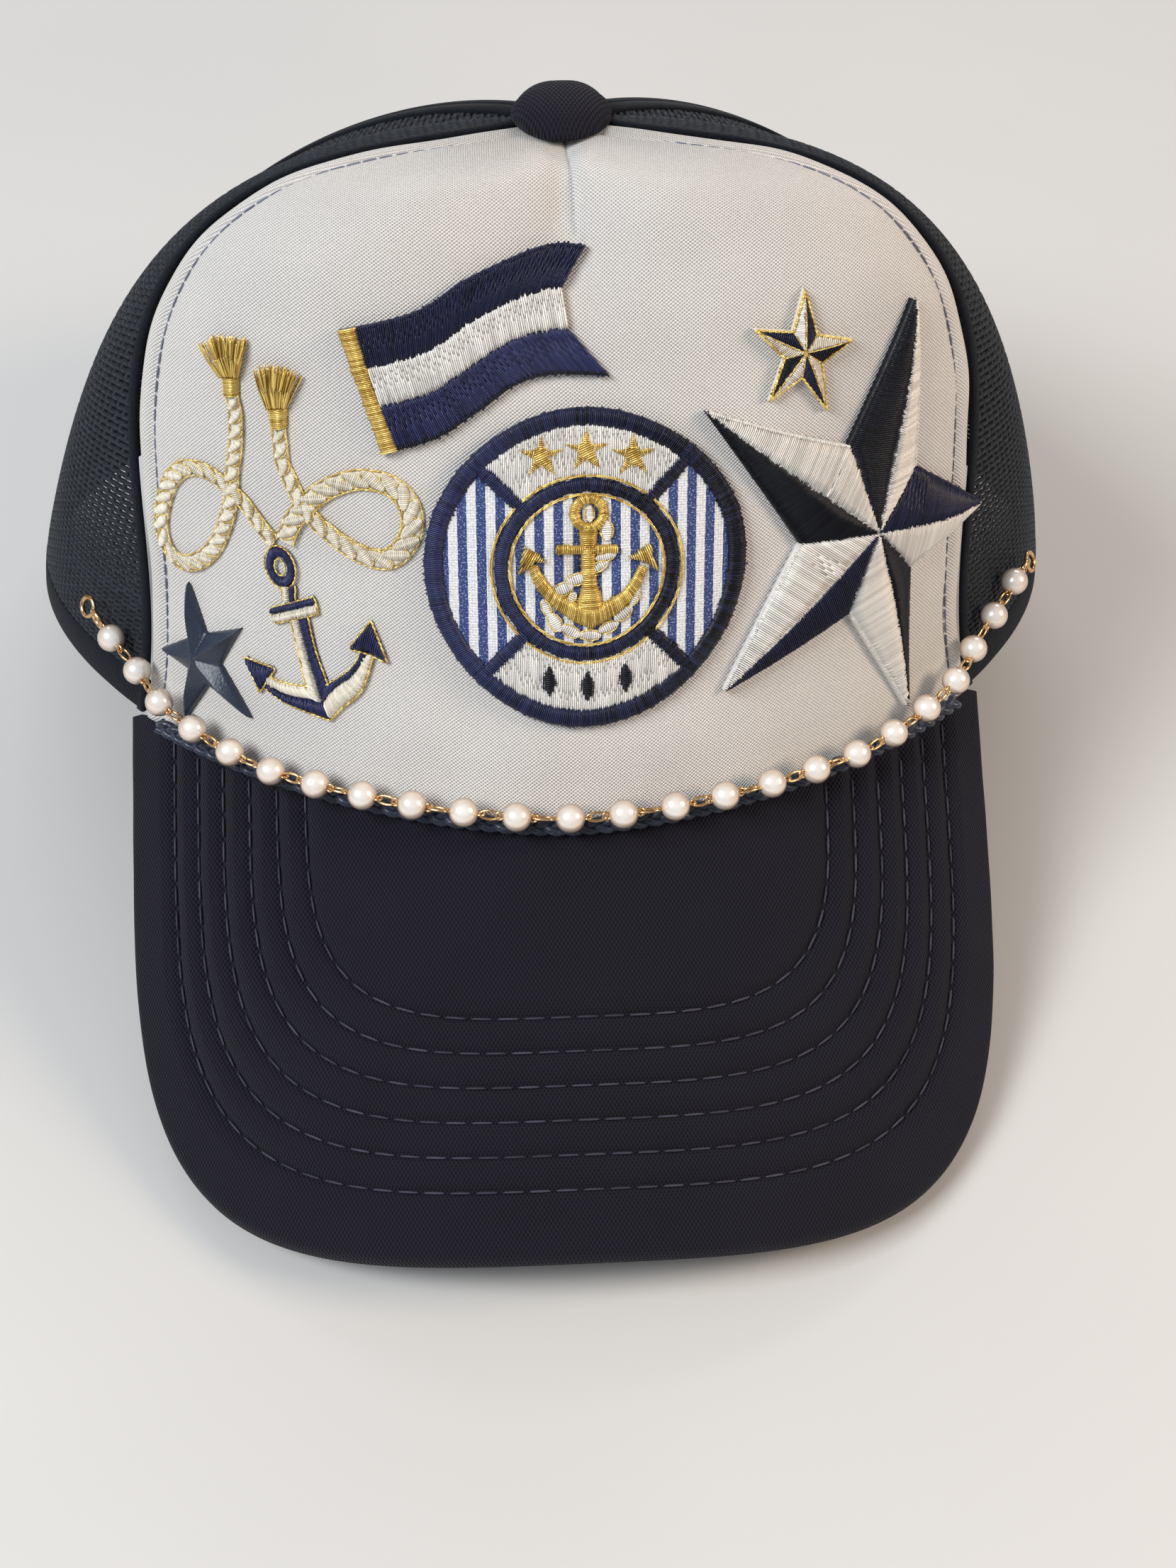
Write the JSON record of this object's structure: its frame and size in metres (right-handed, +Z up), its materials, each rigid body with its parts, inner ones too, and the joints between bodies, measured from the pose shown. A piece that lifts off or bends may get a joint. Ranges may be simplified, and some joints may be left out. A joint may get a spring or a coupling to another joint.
{
  "type": "trucker hat",
  "caption": "Foam-front trucker hat with mesh back, stitched brim, nautical patches, satin braid and a pearl chain along the brim seam.",
  "frame": {"origin": "under the middle of the hat's bounding box, on the surface it rests on", "axes": "+Z up through the crown, the brim points to -Y, +X is the wearer's left side"},
  "size_m": [0.201, 0.2536, 0.1505],
  "materials": {
    "white_foam": "white jersey laminated to foam",
    "navy_mesh": "open polyester netting, near-black navy",
    "navy_foam": "dark navy jersey laminated to foam",
    "strap_plastic": "satin moulded strap, near-black navy",
    "navy_satin": "glossy navy satin cord, plaited",
    "embroidery": "satin stitch in navy, white and blue thread",
    "gold_thread": "metallic gold embroidery thread",
    "pearl": "warm white imitation pearl",
    "gold_wire": "polished gold-plated wire"
  },
  "bodies": {
    "root": {"front_panel": "white_foam", "side_mesh_left": "navy_mesh", "side_mesh_right": "navy_mesh", "back_mesh_left": "navy_mesh", "back_mesh_right": "navy_mesh", "brim": "navy_foam", "button": "navy_foam", "snap_strap": "strap_plastic", "rope_braid": "navy_satin", "pearl_chain": "pearl", "clasp_left": "gold_wire", "clasp_right": "gold_wire", "flag_patch": "embroidery", "rope_anchor_patch": "gold_thread", "navy_star_patch": "embroidery", "round_badge_patch": "embroidery", "large_star_patch": "embroidery", "gold_star_patch": "gold_thread"}
  },
  "joints": []
}
